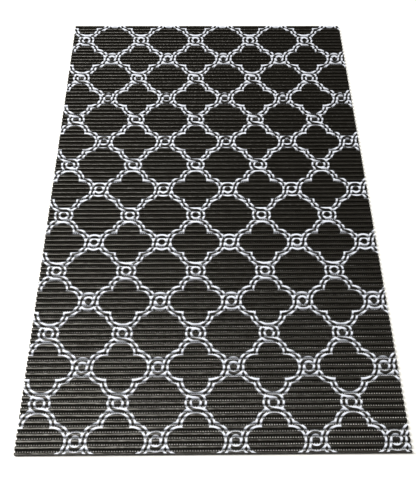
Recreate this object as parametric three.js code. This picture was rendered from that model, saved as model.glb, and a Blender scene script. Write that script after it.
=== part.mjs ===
// Foam door mat: soft ribs across the width, cast on a yarn net, with a flat-footed foam underside.
// Millimetres, +Z up. Origin: middle of the mat on the floor. X is across, Y is along the length.

import * as THREE from 'three';

// Driving dimensions
const MAT_WIDTH = 450;            // side to side, cut straight
const MAT_LENGTH = 740;           // end to end, cut through the crest of the nearest rib

const RIB_PITCH = 7.55;           // rib centre to rib centre
const RIB_WIDTH = 5.3;            // a rib at its foot
const RIB_HEIGHT = 2.8;           // a rib above the net
const RIB_WEB = 0.5;              // foam skin that ties the ribs of one strip together
const RIB_ARC_STEPS = 5;          // curve quality: each rounded crest gets twice as many facets
const MOST_RIB_STRIPS = 56;       // ribs are joined two or more to a strip, so that no more strips are needed

const NET_THICKNESS = 0.6;        // a lengthwise yarn, coated
const NET_WEB = 0.3;              // the crosswise yarns, as one thin skin between the lengthwise ones
const YARN_PITCH = 2.96;          // lengthwise yarn to lengthwise yarn
const YARN_WIDTH = 1.4;           // a lengthwise yarn, coated

const UNDERSIDE_THICKNESS = 1.0;  // foam below the net, at a foot
const UNDERSIDE_WEB = 0.5;        // foam below the net, between two feet
const FOOT_WIDTH = 4.8;           // the flat that rests on the floor, one under each rib
const FOOT_DRAFT = 0.3;           // how far a foot's side slopes out as it rises

const LAYER_GAP = 0.3;            // clearance between two layers that touch

// What follows from them
const pitchCount = Math.round(MAT_LENGTH / RIB_PITCH);
const cutLength = pitchCount * RIB_PITCH;
const lastRib = pitchCount;       // the first and last ribs are cut in half
const ribsPerStrip = Math.ceil((lastRib + 1) / MOST_RIB_STRIPS);
const stripCount = Math.floor((lastRib + 1) / ribsPerStrip);
const yarnCount = Math.floor(MAT_WIDTH / YARN_PITCH);
const netBase = UNDERSIDE_THICKNESS + LAYER_GAP;
const ribBase = netBase + NET_THICKNESS + LAYER_GAP;

const foam = new THREE.MeshStandardMaterial({ color: 0x2b2a25, roughness: 0.62, metalness: 0 });
const undersideFoam = new THREE.MeshStandardMaterial({ color: 0x26251f, roughness: 0.8, metalness: 0 });
const coatedYarn = new THREE.MeshStandardMaterial({ color: 0x35332b, roughness: 0.5, metalness: 0 });

/** Where rib number i stands along the mat, counted from the -Y end. */
function ribY(i) {
  return i * RIB_PITCH - cutLength / 2;
}

/** Where lengthwise yarn number i lies across the mat, counted from the -X side. */
function yarnX(i) {
  return (i - (yarnCount - 1) / 2) * YARN_PITCH;
}

/** A profile drawn in Y and Z, run across the whole width. */
function runAcross(profile, curveSegments = 1) {
  const geometry = new THREE.ExtrudeGeometry(profile, {
    depth: MAT_WIDTH, bevelEnabled: false, curveSegments,
  });
  const alongY = new THREE.Vector3(0, 1, 0);
  const alongZ = new THREE.Vector3(0, 0, 1);
  const alongX = new THREE.Vector3(1, 0, 0);
  geometry.applyMatrix4(new THREE.Matrix4().makeBasis(alongY, alongZ, alongX));
  return geometry.translate(-MAT_WIDTH / 2, 0, 0);
}

/** Adds one named piece to the mat at the given height. */
function addPiece(mat, name, geometry, material, z) {
  const mesh = new THREE.Mesh(geometry, material);
  mesh.name = name;
  mesh.position.z = z;
  mat.add(mesh);
}

/** The outline of neighbouring ribs with rounded crests, from rib `first` to rib `last`. */
function ribStripProfile(first, last) {
  const profile = new THREE.Shape();
  const halfRib = RIB_WIDTH / 2;
  profile.moveTo(Math.max(ribY(first) - halfRib, -cutLength / 2), 0);
  profile.lineTo(Math.min(ribY(last) + halfRib, cutLength / 2), 0);
  for (let i = last; i >= first; i--) {
    const from = i === lastRib ? Math.PI / 2 : 0;
    const to = i === 0 ? Math.PI / 2 : Math.PI;
    profile.absellipse(ribY(i), RIB_WEB, halfRib, RIB_HEIGHT - RIB_WEB, from, to, false);
  }
  profile.closePath();
  return profile;
}

/** The foam ribs that are walked on, in strips of neighbours; the last strip takes what is left. */
function addRibStrips(mat) {
  for (let strip = 0; strip < stripCount; strip++) {
    const first = strip * ribsPerStrip;
    const last = strip === stripCount - 1 ? lastRib : first + ribsPerStrip - 1;
    const name = `foam_ribs_${String(strip + 1).padStart(2, '0')}`;
    addPiece(mat, name, runAcross(ribStripProfile(first, last), RIB_ARC_STEPS), foam, ribBase);
  }
}

/** The net inside the mat: lengthwise yarns standing out of a thin skin. */
function addYarnNet(mat) {
  const profile = new THREE.Shape();
  const halfYarn = YARN_WIDTH / 2;
  profile.moveTo(-MAT_WIDTH / 2, 0);
  profile.lineTo(MAT_WIDTH / 2, 0);
  profile.lineTo(MAT_WIDTH / 2, NET_WEB);
  for (let i = yarnCount - 1; i >= 0; i--) {
    profile.lineTo(yarnX(i) + halfYarn, NET_WEB);
    profile.lineTo(yarnX(i) + halfYarn / 2, NET_THICKNESS);
    profile.lineTo(yarnX(i) - halfYarn / 2, NET_THICKNESS);
    profile.lineTo(yarnX(i) - halfYarn, NET_WEB);
  }
  profile.lineTo(-MAT_WIDTH / 2, NET_WEB);
  profile.closePath();
  const geometry = new THREE.ExtrudeGeometry(profile, { depth: cutLength, bevelEnabled: false });
  geometry.rotateX(Math.PI / 2).translate(0, cutLength / 2, 0);
  addPiece(mat, 'yarn_net', geometry, coatedYarn, netBase);
}

/** The foam below the net: a flat foot under each rib, half a one at each end, joined by a thinner skin. */
function addUnderside(mat) {
  const profile = new THREE.Shape();
  const webZ = UNDERSIDE_THICKNESS - UNDERSIDE_WEB;
  const halfFoot = FOOT_WIDTH / 2;
  profile.moveTo(-cutLength / 2, 0);
  for (let i = 0; i < lastRib; i++) {
    profile.lineTo(ribY(i) + halfFoot, 0);
    profile.lineTo(ribY(i) + halfFoot + FOOT_DRAFT, webZ);
    profile.lineTo(ribY(i + 1) - halfFoot - FOOT_DRAFT, webZ);
    profile.lineTo(ribY(i + 1) - halfFoot, 0);
  }
  profile.lineTo(cutLength / 2, 0);
  profile.lineTo(cutLength / 2, UNDERSIDE_THICKNESS);
  profile.lineTo(-cutLength / 2, UNDERSIDE_THICKNESS);
  profile.closePath();
  addPiece(mat, 'foam_underside', runAcross(profile), undersideFoam, 0);
}

const mat = new THREE.Group();
addUnderside(mat);
addYarnNet(mat);
addRibStrips(mat);

export default mat;
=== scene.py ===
"""Looks of a soft foam door mat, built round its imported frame.

The mat is foamed PVC cast on a yarn net: ribs across the width, drain openings between them, and a white
trellis screen-printed on the rib crests. Everything is in metres, +Z up, in the frame's own coordinates.
"""

from __future__ import annotations

import logging
import math
import random
from dataclasses import dataclass
from enum import Enum, IntEnum
from typing import Any

import bmesh
import bpy
import numpy as np
from mathutils import Matrix, Vector

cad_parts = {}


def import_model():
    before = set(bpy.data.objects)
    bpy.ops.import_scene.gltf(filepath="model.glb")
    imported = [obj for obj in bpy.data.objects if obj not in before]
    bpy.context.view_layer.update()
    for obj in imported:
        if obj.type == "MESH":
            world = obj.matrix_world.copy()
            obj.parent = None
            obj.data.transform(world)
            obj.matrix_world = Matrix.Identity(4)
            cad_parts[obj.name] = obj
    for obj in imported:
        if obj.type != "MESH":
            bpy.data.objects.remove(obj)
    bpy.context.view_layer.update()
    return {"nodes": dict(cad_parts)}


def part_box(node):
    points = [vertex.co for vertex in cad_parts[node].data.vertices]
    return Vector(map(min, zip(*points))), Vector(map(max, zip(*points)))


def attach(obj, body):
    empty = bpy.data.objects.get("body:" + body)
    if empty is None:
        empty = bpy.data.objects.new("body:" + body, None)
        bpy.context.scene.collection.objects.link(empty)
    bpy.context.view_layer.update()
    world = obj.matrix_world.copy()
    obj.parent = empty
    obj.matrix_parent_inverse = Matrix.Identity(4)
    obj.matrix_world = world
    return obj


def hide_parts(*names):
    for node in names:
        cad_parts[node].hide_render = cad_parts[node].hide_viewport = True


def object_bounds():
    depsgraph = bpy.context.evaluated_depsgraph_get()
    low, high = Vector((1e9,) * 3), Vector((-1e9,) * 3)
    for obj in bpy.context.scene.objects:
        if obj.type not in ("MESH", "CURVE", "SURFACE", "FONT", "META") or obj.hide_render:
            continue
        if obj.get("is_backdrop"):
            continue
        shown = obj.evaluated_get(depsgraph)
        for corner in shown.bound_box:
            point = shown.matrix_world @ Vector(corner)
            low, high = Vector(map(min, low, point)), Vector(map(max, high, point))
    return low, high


MM = 0.001
ON_THE_CUT = 0.001 * MM  # a point this near to a cut lies on it
LOOKS_SIDEWAYS = 0.9  # the least X of a normal, on a face that the side cut made
LOOKS_ENDWAYS = 0.999  # the least Y of a normal, on a face that the end cut made
QUARTER_TURN = math.radians(90)
LOG = logging.getLogger("door_mat")

Point = tuple[float, float, float]


class Surface(IntEnum):
    """Which of a piece's two materials a face wears."""

    SKIN = 0
    CUT = 1


# ---------------------------------------------------------------------------------------------------------
# Small helpers
# ---------------------------------------------------------------------------------------------------------


def linear(hex_colour: str) -> tuple[float, float, float, float]:
    """Turns an sRGB hex colour into the linear colour that a shader takes, by the standard's own curve.

    Args:
        hex_colour: six hex digits, such as "f4f4f2".

    Returns:
        Red, green, blue and an alpha of 1.
    """
    channels = [int(hex_colour[i : i + 2], 16) / 255 for i in (0, 2, 4)]
    turned = [c / 12.92 if c <= 0.04045 else ((c + 0.055) / 1.055) ** 2.4 for c in channels]
    return (*turned, 1.0)


def add_node(
    tree: bpy.types.NodeTree,
    kind: str,
    settings: dict[str, Any] | None = None,
    inputs: dict[int | str, Any] | None = None,
) -> bpy.types.Node:
    """Adds one shader node, with its settings, values and links.

    Args:
        tree: the material's node tree.
        kind: the node's type name.
        settings: attributes of the node itself, such as its operation.
        inputs: for each input, by number or name, a plain value or the output that feeds it.

    Returns:
        The new node.
    """
    node = tree.nodes.new(kind)
    for name, value in (settings or {}).items():
        setattr(node, name, value)
    for key, value in (inputs or {}).items():
        if isinstance(value, bpy.types.NodeSocket):
            tree.links.new(value, node.inputs[key])
        else:
            node.inputs[key].default_value = value
    return node


def new_material(name: str) -> tuple[bpy.types.Material, bpy.types.NodeTree]:
    """Makes an empty node material.

    Args:
        name: what the material is.

    Returns:
        The material and its node tree, with nothing in it.
    """
    material = bpy.data.materials.new(name)
    material.use_nodes = True
    material.node_tree.nodes.clear()
    return material, material.node_tree


def link_piece(name: str, mesh: bpy.types.Mesh, materials: list[bpy.types.Material]) -> bpy.types.Object:
    """Puts a mesh into the scene as one named piece at the origin.

    Args:
        name: the piece's name.
        mesh: its finished mesh, in place.
        materials: its materials, in the order of the faces' indices.

    Returns:
        The new object.
    """
    mesh.name = name
    for material in materials:
        mesh.materials.append(material)
    piece = bpy.data.objects.new(name, mesh)
    bpy.context.scene.collection.objects.link(piece)
    return piece


def coordinates(mesh: bpy.types.Mesh) -> np.ndarray:
    """Reads the mesh's points.

    Args:
        mesh: the mesh to read.

    Returns:
        An array of three columns, with one row for each of its vertices.
    """
    flat = np.empty(len(mesh.vertices) * 3, np.float32)
    mesh.vertices.foreach_get("co", flat)
    return flat.reshape(-1, 3).astype(float)


def set_coordinates(mesh: bpy.types.Mesh, points: np.ndarray) -> None:
    """Writes the mesh's points back.

    Args:
        mesh: the mesh to change.
        points: one row for each of its vertices.
    """
    mesh.vertices.foreach_set("co", points.astype(np.float32).ravel())
    mesh.update()


# ---------------------------------------------------------------------------------------------------------
# The frame's own sizes
# ---------------------------------------------------------------------------------------------------------


class RibCut(Enum):
    """What the end cuts leave of a rib."""

    WHOLE = "whole"
    NEAR_HALF = "near half"
    FAR_HALF = "far half"


@dataclass(frozen=True)
class MatSize:
    """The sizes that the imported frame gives."""

    width: float
    length: float
    top: float
    net_low: float
    net_high: float
    strips: tuple[str, ...]
    ribs_per_strip: int = 2
    yarn_pitch: float = 2.96 * MM

    @classmethod
    def from_frame(cls, nodes: dict[str, bpy.types.Object]) -> MatSize:
        """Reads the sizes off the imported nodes.

        Args:
            nodes: the frame's nodes by name.

        Returns:
            The mat's sizes.
        """
        low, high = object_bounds()
        net_low, net_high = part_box("yarn_net")
        return cls(
            width=high.x - low.x,
            length=high.y - low.y,
            top=high.z,
            net_low=net_low.z,
            net_high=net_high.z,
            strips=tuple(sorted(name for name in nodes if name.startswith("foam_ribs_"))),
        )

    @property
    def rib_count(self) -> int:
        """How many ribs the mat has, with the half ones that the cut leaves at its two ends."""
        return len(self.strips) * self.ribs_per_strip + 1

    @property
    def rib_pitch(self) -> float:
        """Rib centre to rib centre."""
        return self.length / (self.rib_count - 1)

    @property
    def net_middle(self) -> float:
        """The height of the yarns' centres."""
        return (self.net_low + self.net_high) / 2

    def rib_y(self, index: int) -> float:
        """Where a rib stands along the mat.

        Args:
            index: the rib's number from the near end.

        Returns:
            Its place along Y.
        """
        return index * self.rib_pitch - self.length / 2

    def cut_of(self, index: int) -> RibCut:
        """How the mat's end cuts go through a rib.

        Args:
            index: the rib's number from the near end.

        Returns:
            Which part of the rib is left.
        """
        return {0: RibCut.FAR_HALF, self.rib_count - 1: RibCut.NEAR_HALF}.get(index, RibCut.WHOLE)


def cut_off(bm: bmesh.types.BMesh, place: Point, outward: Point) -> None:
    """Cuts a piece off a closed shape and closes it again.

    Args:
        bm: the shape.
        place: a point on the cut.
        outward: the side that is cut off.
    """
    geom = [*bm.verts, *bm.edges, *bm.faces]
    bmesh.ops.bisect_plane(
        bm, geom=geom, dist=ON_THE_CUT, plane_co=place, plane_no=outward, clear_outer=True
    )
    bmesh.ops.holes_fill(bm, edges=[e for e in bm.edges if e.is_boundary], sides=0)


def cut_to_half(bm: bmesh.types.BMesh, cut: RibCut) -> None:
    """Cuts a rib or a foot that is centred on Y as the mat's end cuts do.

    Args:
        bm: the closed shape.
        cut: how much of it to keep.
    """
    if cut is RibCut.FAR_HALF:
        cut_off(bm, (0, 0, 0), (0, -1, 0))
    elif cut is RibCut.NEAR_HALF:
        cut_off(bm, (0, 0, 0), (0, 1, 0))


# ---------------------------------------------------------------------------------------------------------
# Finishes
# ---------------------------------------------------------------------------------------------------------


@dataclass(frozen=True)
class TrellisPrint:
    """The printed trellis: quatrefoils of four overlapping discs, with a ring where their tips meet.

    Lengths are shares of the repeat, which is a little longer along the mat than across it, because the
    foam stretches as it is printed.
    """

    repeat_across: float = 91.64 * MM
    repeat_along: float = 91.92 * MM
    first_ring: tuple[float, float] = (-203.4 * MM, 334.0 * MM)
    ring_centre: float = 0.5
    lobe_centre: float = 0.191
    inner_line: float = 0.182
    outer_line: float = 0.240
    eye_line: float = 0.064
    ring_line: float = 0.130
    line_half_width: float = 0.0138
    ribbon_slope: float = 0.93
    empty_middle: float = 0.1

    def mask(self, tree: bpy.types.NodeTree, position: bpy.types.NodeSocket) -> bpy.types.NodeSocket:
        """Draws the trellis from the object's own coordinates.

        The plane is folded into the quarter of one quatrefoil that faces the ring at its top, because the
        pattern looks the same after a quarter turn about a quatrefoil's middle.

        Args:
            tree: the material's node tree.
            position: the output that gives the place on the mat.

        Returns:
            An output that is 1 on a printed line and 0 beside it.
        """
        x0, y0 = self.first_ring
        in_repeats = add_node(
            tree,
            "ShaderNodeMapping",
            inputs={
                "Vector": position,
                "Location": (self.ring_centre - x0 / self.repeat_across, -y0 / self.repeat_along, 0),
                "Scale": (1 / self.repeat_across, 1 / self.repeat_along, 0),
            },
        )
        share = add_node(tree, "ShaderNodeVectorMath", {"operation": "FRACTION"}, {0: in_repeats.outputs[0]})
        cell = add_node(
            tree,
            "ShaderNodeVectorMath",
            {"operation": "SUBTRACT"},
            {0: share.outputs[0], 1: (self.ring_centre, self.ring_centre, 0)},
        )
        size = add_node(tree, "ShaderNodeVectorMath", {"operation": "ABSOLUTE"}, {0: cell.outputs[0]})
        way = add_node(tree, "ShaderNodeVectorMath", {"operation": "SIGN"}, {0: cell.outputs[0]})
        cell_xy = add_node(tree, "ShaderNodeSeparateXYZ", inputs={0: cell.outputs[0]})
        size_xy = add_node(tree, "ShaderNodeSeparateXYZ", inputs={0: size.outputs[0]})
        way_xy = add_node(tree, "ShaderNodeSeparateXYZ", inputs={0: way.outputs[0]})
        upright = add_node(
            tree,
            "ShaderNodeMath",
            {"operation": "GREATER_THAN"},
            {0: size_xy.outputs[1], 1: size_xy.outputs[0]},
        )
        beside_upright = add_node(
            tree, "ShaderNodeMath", {"operation": "MULTIPLY"}, {0: cell_xy.outputs[0], 1: way_xy.outputs[1]}
        )
        beside_level = add_node(
            tree, "ShaderNodeMath", {"operation": "MULTIPLY"}, {0: cell_xy.outputs[1], 1: way_xy.outputs[0]}
        )
        turned = add_node(
            tree, "ShaderNodeMath", {"operation": "MULTIPLY"}, {0: beside_level.outputs[0], 1: -1.0}
        )
        across = add_node(
            tree,
            "ShaderNodeMix",
            {"data_type": "FLOAT"},
            {0: upright.outputs[0], 2: turned.outputs[0], 3: beside_upright.outputs[0]},
        )
        further = add_node(
            tree, "ShaderNodeMath", {"operation": "MAXIMUM"}, {0: size_xy.outputs[0], 1: size_xy.outputs[1]}
        )
        # Nothing is drawn round a quatrefoil's middle, where the four discs would meet again.
        outward = add_node(
            tree, "ShaderNodeMath", {"operation": "MAXIMUM"}, {0: further.outputs[0], 1: self.empty_middle}
        )
        place = add_node(
            tree, "ShaderNodeCombineXYZ", inputs={0: across.outputs[0], 1: outward.outputs[0]}
        )
        from_lobe = add_node(
            tree,
            "ShaderNodeVectorMath",
            {"operation": "DISTANCE"},
            {0: place.outputs[0], 1: (0, self.lobe_centre, 0)},
        )
        from_ring = add_node(
            tree,
            "ShaderNodeVectorMath",
            {"operation": "DISTANCE"},
            {0: place.outputs[0], 1: (0, self.ring_centre, 0)},
        )
        inner, outer, eye, ring = (
            add_node(
                tree,
                "ShaderNodeMath",
                {"operation": "COMPARE"},
                {0: distance.outputs[1], 1: radius, 2: self.line_half_width},
            )
            for distance, radius in (
                (from_lobe, self.inner_line),
                (from_lobe, self.outer_line),
                (from_ring, self.eye_line),
                (from_ring, self.ring_line),
            )
        )
        # The outer line runs in to the eye on one side of a ring and stops at the ring on the other.
        right = add_node(
            tree, "ShaderNodeMath", {"operation": "GREATER_THAN"}, {0: across.outputs[0], 1: 0.0}
        )
        beyond = add_node(
            tree,
            "ShaderNodeMath",
            {"operation": "GREATER_THAN"},
            {0: from_ring.outputs[1], 1: self.ring_line},
        )
        outer_runs = add_node(
            tree, "ShaderNodeMath", {"operation": "MAXIMUM"}, {0: right.outputs[0], 1: beyond.outputs[0]}
        )
        outer_shown = add_node(
            tree, "ShaderNodeMath", {"operation": "MULTIPLY"}, {0: outer.outputs[0], 1: outer_runs.outputs[0]}
        )
        # The ring passes over the ribbon on its left and under the one on its right.
        ribbon_edge = add_node(
            tree,
            "ShaderNodeMath",
            {"operation": "MULTIPLY_ADD"},
            {0: across.outputs[0], 1: self.ribbon_slope, 2: outward.outputs[0]},
        )
        above = add_node(
            tree,
            "ShaderNodeMath",
            {"operation": "GREATER_THAN"},
            {0: ribbon_edge.outputs[0], 1: self.ring_centre},
        )
        left = add_node(tree, "ShaderNodeMath", {"operation": "SUBTRACT"}, {0: 1.0, 1: right.outputs[0]})
        ring_runs = add_node(
            tree, "ShaderNodeMath", {"operation": "MAXIMUM"}, {0: left.outputs[0], 1: above.outputs[0]}
        )
        ring_shown = add_node(
            tree, "ShaderNodeMath", {"operation": "MULTIPLY"}, {0: ring.outputs[0], 1: ring_runs.outputs[0]}
        )
        lines = add_node(
            tree, "ShaderNodeMath", {"operation": "MAXIMUM"}, {0: inner.outputs[0], 1: outer_shown.outputs[0]}
        )
        rings = add_node(
            tree, "ShaderNodeMath", {"operation": "MAXIMUM"}, {0: eye.outputs[0], 1: ring_shown.outputs[0]}
        )
        drawn = add_node(
            tree, "ShaderNodeMath", {"operation": "MAXIMUM"}, {0: lines.outputs[0], 1: rings.outputs[0]}
        )
        return drawn.outputs[0]


@dataclass(frozen=True)
class PrintedFinish:
    """A soft PVC skin that the trellis is printed on: finely pebbled, uneven to the hand, with a dull sheen.

    The ink reaches down the flanks to the height where the screen no longer pressed it on.
    """

    name: str
    colour: str
    worn_colour: str
    roughness: float
    specular: float
    ink_floor: float
    ink_full: float
    ink: str = "d3d6dd"
    sheen: str = "fffaf0"
    ink_roughness: float = 0.5
    refraction: float = 1.5
    pebble: float = 0.55 * MM
    pebble_octaves: float = 3.0
    pebble_depth: float = 0.05 * MM
    lump: float = 3.6 * MM
    lump_octaves: float = 1.0
    lump_depth: float = 0.6 * MM
    mottle: float = 14 * MM
    mottle_octaves: float = 4.0
    ink_edge_wander: float = 0.35 * MM

    def material(self, trellis: TrellisPrint) -> bpy.types.Material:
        """Builds the printed skin.

        Args:
            trellis: the pattern that is printed on it.

        Returns:
            The material.
        """
        material, tree = new_material(self.name)
        place = add_node(tree, "ShaderNodeTexCoord").outputs["Object"]
        pebbles, lumps, mottle = (
            add_node(
                tree,
                "ShaderNodeTexNoise",
                inputs={"Vector": place, "Scale": 1 / grain, "Detail": octaves},
            )
            for grain, octaves in (
                (self.pebble, self.pebble_octaves),
                (self.lump, self.lump_octaves),
                (self.mottle, self.mottle_octaves),
            )
        )
        skin = add_node(
            tree,
            "ShaderNodeMix",
            {"data_type": "RGBA"},
            {0: mottle.outputs["Fac"], 6: linear(self.colour), 7: linear(self.worn_colour)},
        )
        wander = add_node(
            tree,
            "ShaderNodeVectorMath",
            {"operation": "MULTIPLY_ADD"},
            {0: pebbles.outputs["Color"], 1: (self.ink_edge_wander,) * 3, 2: place},
        )
        printed = trellis.mask(tree, wander.outputs[0])
        height = add_node(tree, "ShaderNodeSeparateXYZ", inputs={0: wander.outputs[0]})
        reached = add_node(
            tree,
            "ShaderNodeMapRange",
            inputs={0: height.outputs[2], 1: self.ink_floor, 2: self.ink_full},
        )
        inked = add_node(
            tree, "ShaderNodeMath", {"operation": "MULTIPLY"}, {0: printed, 1: reached.outputs[0]}
        )
        colour = add_node(
            tree,
            "ShaderNodeMix",
            {"data_type": "RGBA"},
            {0: inked.outputs[0], 6: skin.outputs[2], 7: linear(self.ink)},
        )
        roughness = add_node(
            tree,
            "ShaderNodeMix",
            {"data_type": "FLOAT"},
            {0: inked.outputs[0], 2: self.roughness, 3: self.ink_roughness},
        )
        lumpy = add_node(
            tree, "ShaderNodeBump", inputs={"Height": lumps.outputs["Fac"], "Distance": self.lump_depth}
        )
        bump = add_node(
            tree,
            "ShaderNodeBump",
            inputs={
                "Height": pebbles.outputs["Fac"],
                "Distance": self.pebble_depth,
                "Normal": lumpy.outputs[0],
            },
        )
        shader = add_node(
            tree,
            "ShaderNodeBsdfPrincipled",
            inputs={
                "Base Color": colour.outputs[2],
                "Roughness": roughness.outputs[0],
                "Normal": bump.outputs[0],
                "IOR": self.refraction,
                "Specular IOR Level": self.specular,
                "Specular Tint": linear(self.sheen),
            },
        )
        add_node(tree, "ShaderNodeOutputMaterial", inputs={"Surface": shader.outputs[0]})
        return material


# Foamed PVC: near-black brown, so that only its satin skin shows; the white ink lies dull on it.
PRINTED_FOAM = PrintedFinish(
    "foamed_pvc_printed", "0a0804", "13100a", 0.31, 0.45, ink_floor=2.3 * MM, ink_full=2.9 * MM
)
# Polyester yarn with a thin coat of PVC: duller than the foam, and some ink drips on to its top.
PRINTED_YARN = PrintedFinish(
    "coated_polyester_yarn", "0f0d08", "181610", 0.5, 0.2, ink_floor=1.8 * MM, ink_full=2.4 * MM
)


@dataclass(frozen=True)
class PlainFinish:
    """A plain soft surface with a fine grain."""

    name: str
    colour: str
    light_colour: str
    roughness: float
    grain: float
    bump: float
    octaves: float = 3.0
    bump_strength: float = 0.6

    def material(self) -> bpy.types.Material:
        """Builds the material.

        Returns:
            The material.
        """
        material, tree = new_material(self.name)
        place = add_node(tree, "ShaderNodeTexCoord").outputs["Object"]
        grain = add_node(
            tree,
            "ShaderNodeTexNoise",
            inputs={"Vector": place, "Scale": 1 / self.grain, "Detail": self.octaves},
        )
        colour = add_node(
            tree,
            "ShaderNodeMix",
            {"data_type": "RGBA"},
            {0: grain.outputs["Fac"], 6: linear(self.colour), 7: linear(self.light_colour)},
        )
        bump = add_node(
            tree,
            "ShaderNodeBump",
            inputs={
                "Height": grain.outputs["Fac"],
                "Strength": self.bump_strength,
                "Distance": self.bump,
            },
        )
        shader = add_node(
            tree,
            "ShaderNodeBsdfPrincipled",
            inputs={
                "Base Color": colour.outputs[2],
                "Roughness": self.roughness,
                "Normal": bump.outputs[0],
            },
        )
        add_node(tree, "ShaderNodeOutputMaterial", inputs={"Surface": shader.outputs[0]})
        return material


# Cut foam: the knife opens the cells, so the cut ends are greyer and rougher than the skin.
CUT_FOAM = PlainFinish("foamed_pvc_cut", "1c1a16", "3d3933", 0.9, 0.35 * MM, 0.15 * MM)
# The underside's foam: the same material, matt and a little tacky where it grips the floor.
UNDERSIDE_FOAM = PlainFinish("foamed_pvc_underside", "1a1813", "26231d", 0.72, 0.6 * MM, 0.06 * MM)
# Polyester yarn, bare where it is cut: a pale grey fleck.
CUT_YARN = PlainFinish("polyester_yarn_cut", "77746b", "a5a298", 0.8, 0.12 * MM, 0.04 * MM)


# ---------------------------------------------------------------------------------------------------------
# The mat
# ---------------------------------------------------------------------------------------------------------


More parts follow.
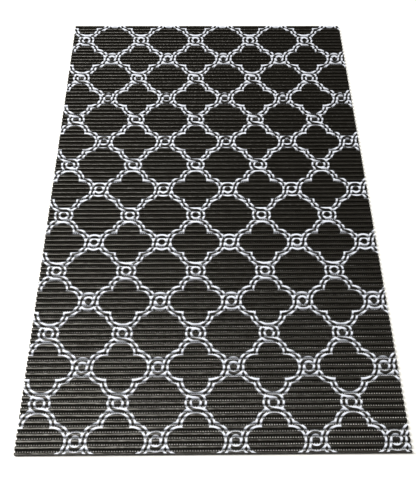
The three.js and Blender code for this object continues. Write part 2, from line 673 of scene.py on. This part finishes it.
@dataclass
class FoamRibs:
    """The ribs that are walked on, two to a strip.

    Each rib has slow and quick waves along it, and is a little fuller between two yarns than over one. The
    swells are shares of its width, wander is how far it strays from its line, and the sags lower its crest.
    """

    size: MatSize
    width: float = 5.25 * MM
    squareness: float = 0.12
    facets: int = 14
    steps_per_yarn: int = 2
    crease: float = math.radians(50)
    slow_wave: tuple[float, float] = (90 * MM, 160 * MM)
    quick_wave: tuple[float, float] = (25 * MM, 45 * MM)
    yarn_swell: float = 0.018
    quick_swell: float = 0.0108
    wander: float = 0.12 * MM
    even_sag: float = 0.05 * MM
    slow_sag: float = 0.03 * MM
    quick_sag: float = 0.02 * MM
    yarn_sag: float = 0.025 * MM
    seed: int = 7

    def template(self, cut: RibCut) -> bpy.types.Mesh:
        """Makes one straight rib, centred on Y, from cut side to cut side.

        Args:
            cut: how much of the rib to keep.

        Returns:
            A mesh whose faces know which are skin and which are cut.
        """
        bm = bmesh.new()
        base = self.size.net_middle
        bmesh.ops.create_cone(
            bm,
            cap_ends=True,
            segments=2 * self.facets,
            radius1=1,
            radius2=1,
            depth=self.size.width,
            matrix=Matrix.Rotation(QUARTER_TURN, 4, "Y"),
        )
        # A round section, filled out a little at its shoulders and pressed to the rib's own height.
        for v in bm.verts:
            fuller = 1 + self.squareness * (2 * v.co.y * v.co.z) ** 2
            v.co.y *= fuller * self.width / 2
            v.co.z *= fuller * (self.size.top - base)
        bmesh.ops.translate(bm, verts=bm.verts, vec=(0, 0, base))
        cut_off(bm, (0, 0, base), (0, 0, -1))
        cut_to_half(bm, cut)
        long_edges = [e for e in bm.edges if e.calc_length() > self.size.width / 2]
        cuts = round(self.size.width / self.size.yarn_pitch * self.steps_per_yarn) - 1
        bmesh.ops.subdivide_edges(bm, edges=long_edges, cuts=cuts)
        bmesh.ops.recalc_face_normals(bm, faces=bm.faces)
        for f in bm.faces:
            f.smooth = True
            # The foot of each flank stands upright, so it counts as cut too and wears the rougher foam.
            cut_open = abs(f.normal.x) > LOOKS_SIDEWAYS or abs(f.normal.y) > LOOKS_ENDWAYS
            f.material_index = Surface.CUT if cut_open else Surface.SKIN
        mesh = bpy.data.meshes.new("rib_template")
        bm.to_mesh(mesh)
        bm.free()
        return mesh

    def strip_template(self, ribs: list[bpy.types.Mesh]) -> bpy.types.Mesh:
        """Puts the ribs of one strip one after the other in one mesh.

        Args:
            ribs: the straight ribs.

        Returns:
            A mesh that holds them all, still in one place.
        """
        bm = bmesh.new()
        for rib in ribs:
            bm.from_mesh(rib)
        mesh = bpy.data.meshes.new("strip_template")
        bm.to_mesh(mesh)
        bm.free()
        mesh.set_sharp_from_angle(angle=self.crease)
        return mesh

    def shaped(self, rib: np.ndarray, index: int, draw: random.Random) -> np.ndarray:
        """Gives one rib its place and its own small unevenness.

        Args:
            rib: the straight rib's points.
            index: the rib's number from the near end.
            draw: the source of its chance sizes.

        Returns:
            The rib's points in place.
        """
        turn = math.tau * rib[:, 0]
        # The last of the four draws shapes nothing; it stays because the draws after it depend on it.
        slow_phase, swell_phase, dip_phase, _ = (draw.uniform(0, math.tau) for _ in range(4))
        slow_reach, quick_reach = draw.uniform(*self.slow_wave), draw.uniform(*self.quick_wave)
        slow = np.sin(turn / slow_reach + slow_phase)
        swells = np.sin(turn / quick_reach + swell_phase)
        dips = np.sin(turn / quick_reach + dip_phase)
        between = np.cos(turn / self.size.yarn_pitch)  # 1 between two yarns and -1 over one
        fat = 1 + self.yarn_swell * between + self.quick_swell * swells
        drop = self.even_sag + self.slow_sag * slow + self.quick_sag * dips - self.yarn_sag * between
        base = self.size.net_middle
        share_of_height = (rib[:, 2] - base) / (self.size.top - base)
        placed = rib.copy()
        placed[:, 1] = rib[:, 1] * fat + self.size.rib_y(index)
        if self.size.cut_of(index) is RibCut.WHOLE:
            placed[:, 1] += self.wander * slow
        placed[:, 2] -= np.clip(drop, 0, None) * share_of_height
        return placed

    def build(self, skin: bpy.types.Material, cut: bpy.types.Material) -> list[bpy.types.Object]:
        """Makes every strip and puts it in place of its node.

        Args:
            skin: the printed foam's material.
            cut: the material of the cut ends.

        Returns:
            The strips.
        """
        draw = random.Random(self.seed)
        templates = {kind: self.template(kind) for kind in RibCut}
        straight = {kind: coordinates(mesh) for kind, mesh in templates.items()}
        strips = []
        for number, node in enumerate(self.size.strips):
            first = number * self.size.ribs_per_strip
            last = first + self.size.ribs_per_strip + int(node == self.size.strips[-1])
            kinds = [self.size.cut_of(index) for index in range(first, last)]
            mesh = self.strip_template([templates[kind] for kind in kinds])
            ribs = [self.shaped(straight[kind], first + i, draw) for i, kind in enumerate(kinds)]
            set_coordinates(mesh, np.concatenate(ribs))
            strip = link_piece(f"ribs_{number + 1:02d}", mesh, [skin, cut])
            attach(strip, "root")
            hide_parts(node)
            strips.append(strip)
        for mesh in templates.values():
            bpy.data.meshes.remove(mesh)
        return strips


@dataclass
class YarnNet:
    """The net inside: coated yarns along the mat, bare ones across it inside the ribs."""

    size: MatSize
    groove_width: float = 1.6 * MM
    rib_width: float = 2.3 * MM
    height: float = 1.0 * MM
    sides: int = 6
    bands: int = 4
    crease: float = math.radians(70)
    end_coat: float = 0.28 * MM
    end_proud: float = 0.12 * MM
    cross_radius: float = 0.36 * MM
    cross_sides: int = 8
    cross_lift: float = 0.72 * MM
    cross_proud: float = 0.15 * MM
    cut_rib_inset: float = 0.9 * MM

    def yarn_template(self) -> bpy.types.Mesh:
        """Makes one lengthwise yarn, wide where the foam of a rib grips it and narrow in the grooves.

        Returns:
            A mesh whose faces know which are coated and which are cut bare.
        """
        bm = bmesh.new()
        ring = bmesh.ops.create_circle(bm, cap_ends=True, segments=self.sides, radius=0.5)["verts"]
        bmesh.ops.rotate(bm, verts=ring, matrix=Matrix.Rotation(QUARTER_TURN, 3, "X"))
        bmesh.ops.scale(bm, verts=ring, vec=(self.groove_width, 1, self.height))
        start = self.size.length / 2 + self.end_proud
        bmesh.ops.translate(bm, verts=ring, vec=(0, -start, self.size.net_middle))
        pulled = bmesh.ops.extrude_face_region(bm, geom=list(bm.faces))["geom"]
        moved = [v for v in pulled if isinstance(v, bmesh.types.BMVert)]
        bmesh.ops.translate(bm, verts=moved, vec=(0, 2 * start, 0))
        long_edges = [e for e in bm.edges if e.calc_length() > self.size.length / 2]
        steps = 2 * (self.size.rib_count - 1)  # one to each rib and one to each groove
        bmesh.ops.subdivide_edges(bm, edges=long_edges, cuts=steps - 1)
        bmesh.ops.recalc_face_normals(bm, faces=bm.faces)
        for f in bm.faces:
            f.smooth = True
            f.material_index = Surface.CUT if abs(f.normal.y) > LOOKS_ENDWAYS else Surface.SKIN
        for v in bm.verts:
            pitches = (v.co.y + self.size.length / 2) / self.size.rib_pitch
            in_rib = math.cos(math.tau * pitches) > 0
            if in_rib:
                v.co.x *= self.rib_width / self.groove_width
        # The coat stays round the bare yarn that the knife lays open.
        ends = [f for f in bm.faces if f.material_index == Surface.CUT]
        coat = bmesh.ops.inset_individual(bm, faces=ends, thickness=self.end_coat, use_even_offset=True)
        for f in coat["faces"]:
            f.material_index = Surface.SKIN
        mesh = bpy.data.meshes.new("yarn_template")
        bm.to_mesh(mesh)
        bm.free()
        return mesh

    def build(self, coated: bpy.types.Material, cut: bpy.types.Material) -> list[bpy.types.Object]:
        """Makes the net's pieces and puts them in place of the net's node.

        Args:
            coated: the coated yarn's material.
            cut: the material of a yarn's cut end.

        Returns:
            The bands of lengthwise yarns and the crosswise yarns.
        """
        yarn = self.yarn_template()
        count = int(self.size.width / self.size.yarn_pitch)
        places = [(i - (count - 1) / 2) * self.size.yarn_pitch for i in range(count)]
        pieces = []
        for band in range(self.bands):
            bm = bmesh.new()
            for x in places[band * count // self.bands : (band + 1) * count // self.bands]:
                before = len(bm.verts)
                bm.from_mesh(yarn)
                bm.verts.ensure_lookup_table()
                bmesh.ops.translate(bm, verts=bm.verts[before:], vec=(x, 0, 0))
            mesh = bpy.data.meshes.new("yarns")
            bm.to_mesh(mesh)
            bm.free()
            mesh.set_sharp_from_angle(angle=self.crease)
            pieces.append(link_piece(f"lengthwise_yarns_{band + 1}", mesh, [coated, cut]))
        bpy.data.meshes.remove(yarn)
        pieces.append(self.crosswise(cut))
        for piece in pieces:
            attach(piece, "root")
            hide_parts("yarn_net")
        return pieces

    def inside(self, index: int) -> float:
        """Where a crosswise yarn lies along Y: in its rib's middle, or inside what is left of a cut rib.

        Args:
            index: the rib's number from the near end.

        Returns:
            The yarn's place along Y.
        """
        way = {RibCut.FAR_HALF: 1, RibCut.NEAR_HALF: -1}.get(self.size.cut_of(index), 0)
        return self.size.rib_y(index) + way * self.cut_rib_inset

    def crosswise(self, bare: bpy.types.Material) -> bpy.types.Object:
        """Makes the yarns that lie inside the ribs and show only at the cut sides.

        Args:
            bare: the bare yarn's material.

        Returns:
            All of them as one piece.
        """
        bm = bmesh.new()
        reach = self.size.width + 2 * self.cross_proud
        for index in range(self.size.rib_count):
            place = Vector((0, self.inside(index), self.size.net_middle + self.cross_lift))
            turned = Matrix.Translation(place) @ Matrix.Rotation(QUARTER_TURN, 4, "Y")
            bmesh.ops.create_cone(
                bm,
                cap_ends=True,
                segments=self.cross_sides,
                radius1=self.cross_radius,
                radius2=self.cross_radius,
                depth=reach,
                matrix=turned,
            )
        mesh = bpy.data.meshes.new("crosswise")
        bm.to_mesh(mesh)
        bm.free()
        return link_piece("crosswise_yarns", mesh, [bare])


@dataclass
class Underside:
    """The foam below the net: one flat foot under each rib."""

    size: MatSize
    width: float = 4.95 * MM
    grip_on_net: float = 0.1 * MM
    edge: float = 0.4 * MM
    edge_steps: int = 3
    steps: int = 48
    crease: float = math.radians(50)
    wave: tuple[float, float] = (60 * MM, 140 * MM)
    wander: float = 0.08 * MM
    seed: int = 11

    def template(self, cut: RibCut) -> bpy.types.Mesh:
        """Makes one straight foot, centred on Y, with rounded lower edges.

        Args:
            cut: how much of the foot to keep.

        Returns:
            A mesh whose faces know which are skin and which are cut.
        """
        bm = bmesh.new()
        high = self.size.net_middle + self.grip_on_net
        bmesh.ops.create_cube(bm, size=1)
        bmesh.ops.scale(bm, verts=bm.verts, vec=(self.size.width, self.width, high))
        bmesh.ops.translate(bm, verts=bm.verts, vec=(0, 0, high / 2))
        low = [
            e
            for e in bm.edges
            if e.calc_length() > self.size.width / 2 and all(v.co.z < high / 2 for v in e.verts)
        ]
        bmesh.ops.bevel(
            bm,
            geom=low,
            offset=self.edge,
            segments=self.edge_steps,
            profile=0.5,
            affect="EDGES",
            material=-1,
        )
        cut_to_half(bm, cut)
        long_edges = [e for e in bm.edges if e.calc_length() > self.size.width / 2]
        bmesh.ops.subdivide_edges(bm, edges=long_edges, cuts=self.steps - 1)
        bmesh.ops.recalc_face_normals(bm, faces=bm.faces)
        for f in bm.faces:
            f.smooth = True
            on_the_cut = cut is not RibCut.WHOLE and abs(f.calc_center_median().y) < ON_THE_CUT
            at_end = on_the_cut and abs(f.normal.y) > LOOKS_ENDWAYS
            cut_open = at_end or abs(f.normal.x) > LOOKS_SIDEWAYS
            f.material_index = Surface.CUT if cut_open else Surface.SKIN
        mesh = bpy.data.meshes.new("foot_template")
        bm.to_mesh(mesh)
        bm.free()
        return mesh

    def build(self, skin: bpy.types.Material, cut: bpy.types.Material) -> bpy.types.Object:
        """Makes the feet and puts them in place of the underside's node.

        Args:
            skin: the underside foam's material.
            cut: the material of the cut ends.

        Returns:
            All feet as one piece.
        """
        draw = random.Random(self.seed)
        templates = {kind: self.template(kind) for kind in RibCut}
        bm = bmesh.new()
        places = []
        for index in range(self.size.rib_count):
            kind = self.size.cut_of(index)
            bm.from_mesh(templates[kind])
            foot = coordinates(templates[kind])
            reach, phase = draw.uniform(*self.wave), draw.uniform(0, math.tau)
            sway = self.wander * np.sin(math.tau * foot[:, 0] / reach + phase)
            foot[:, 1] += self.size.rib_y(index) + (sway if kind is RibCut.WHOLE else 0)
            places.append(foot)
        mesh = bpy.data.meshes.new("underside")
        bm.to_mesh(mesh)
        bm.free()
        set_coordinates(mesh, np.concatenate(places))
        mesh.set_sharp_from_angle(angle=self.crease)
        for template in templates.values():
            bpy.data.meshes.remove(template)
        piece = link_piece("underside", mesh, [skin, cut])
        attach(piece, "root")
        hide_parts("foam_underside")
        return piece


# ---------------------------------------------------------------------------------------------------------
# The studio
# ---------------------------------------------------------------------------------------------------------


@dataclass(frozen=True)
class SoftBox:
    """One soft white light: where it hangs, its level side and its leaning side, and how strong it is."""

    name: str
    place: Point
    size: tuple[float, float]
    power: float


@dataclass
class Studio:
    """Floor, lights and camera."""

    floor_reach: float = 12.0
    floor_colour: str = "f4f2eb"
    floor_roughness: float = 0.85
    sky: float = 0.09
    camera_place: Point = (-0.0156, -0.6339, 0.7996)
    camera_turns: tuple[float, float, float] = (-1.263, 34.234, 0.823)
    lens: float = 51.47
    sensor_width: float = 36.0
    nearest_seen: float = 10 * MM
    boxes: tuple[SoftBox, ...] = (
        SoftBox("overhead", (-0.94, 0.16, 1.85), (0.5, 2.1), 79.0),
        SoftBox("fill", (0.8, 0.35, 2.0), (0.8, 1.6), 5.5),
    )

    def build(self) -> None:
        """Makes the floor, the sky, the lights and the camera."""
        self.floor()
        self.sky_light()
        for box in self.boxes:
            self.light(box)
        self.camera()
        bpy.context.scene.view_settings.view_transform = "Standard"
        # The yarn dots are as fine as noise, and only unfiltered guides keep them through the denoiser.
        bpy.context.scene.cycles.denoising_prefilter = "NONE"

    def floor(self) -> None:
        """Lays a plain pale floor."""
        bm = bmesh.new()
        bmesh.ops.create_grid(bm, x_segments=1, y_segments=1, size=self.floor_reach / 2)
        mesh = bpy.data.meshes.new("floor")
        bm.to_mesh(mesh)
        bm.free()
        material, tree = new_material("pale_floor")
        shader = add_node(
            tree,
            "ShaderNodeBsdfPrincipled",
            inputs={"Base Color": linear(self.floor_colour), "Roughness": self.floor_roughness},
        )
        add_node(tree, "ShaderNodeOutputMaterial", inputs={"Surface": shader.outputs[0]})
        link_piece("floor", mesh, [material])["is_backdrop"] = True

    def sky_light(self) -> None:
        """Fills the studio with even white light."""
        world = bpy.data.worlds.new("studio")
        world.use_nodes = True
        world.node_tree.nodes.clear()
        glow = add_node(
            world.node_tree, "ShaderNodeBackground", inputs={"Color": linear("ffffff"), "Strength": self.sky}
        )
        add_node(world.node_tree, "ShaderNodeOutputWorld", inputs={"Surface": glow.outputs[0]})
        bpy.context.scene.world = world

    def light(self, box: SoftBox) -> None:
        """Hangs one soft light, aimed at the mat's middle.

        Args:
            box: the light to hang.
        """
        lamp = bpy.data.lights.new(box.name, "AREA")
        lamp.shape = "RECTANGLE"
        lamp.size, lamp.size_y = box.size
        lamp.energy = box.power
        light = bpy.data.objects.new(box.name, lamp)
        bpy.context.scene.collection.objects.link(light)
        # The light's own X stays level, and its own Y leans upward.
        aim = (-Vector(box.place)).to_track_quat("-Z", "Y").to_matrix().to_4x4()
        light.matrix_world = Matrix.Translation(box.place) @ aim

    def camera(self) -> None:
        """Stands the camera beyond the near short end, looking down the mat."""
        eye = bpy.data.cameras.new("camera")
        eye.lens = self.lens
        eye.sensor_width = self.sensor_width
        eye.clip_start = self.nearest_seen
        camera = bpy.data.objects.new("camera", eye)
        bpy.context.scene.collection.objects.link(camera)
        pan, tilt, roll = (math.radians(turn) for turn in self.camera_turns)
        camera.matrix_world = (
            Matrix.Translation(self.camera_place)
            @ Matrix.Rotation(pan, 4, "Z")
            @ Matrix.Rotation(tilt, 4, "X")
            @ Matrix.Rotation(roll, 4, "Z")
        )
        bpy.context.scene.camera = camera


def main() -> None:
    """Builds the studio and the mat, and reports how many faces each piece has."""
    logging.basicConfig(level=logging.INFO, format="%(message)s")
    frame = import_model()
    size = MatSize.from_frame(frame["nodes"])
    Studio().build()
    trellis = TrellisPrint()
    cut_foam = CUT_FOAM.material()
    ribs = FoamRibs(size).build(PRINTED_FOAM.material(trellis), cut_foam)
    yarns = YarnNet(size).build(PRINTED_YARN.material(trellis), CUT_YARN.material())
    underside = Underside(size).build(UNDERSIDE_FOAM.material(), cut_foam)
    for piece in (*ribs, *yarns, underside):
        LOG.info("%s: %d faces", piece.name, len(piece.data.polygons))


if __name__ == "__main__":
    main()
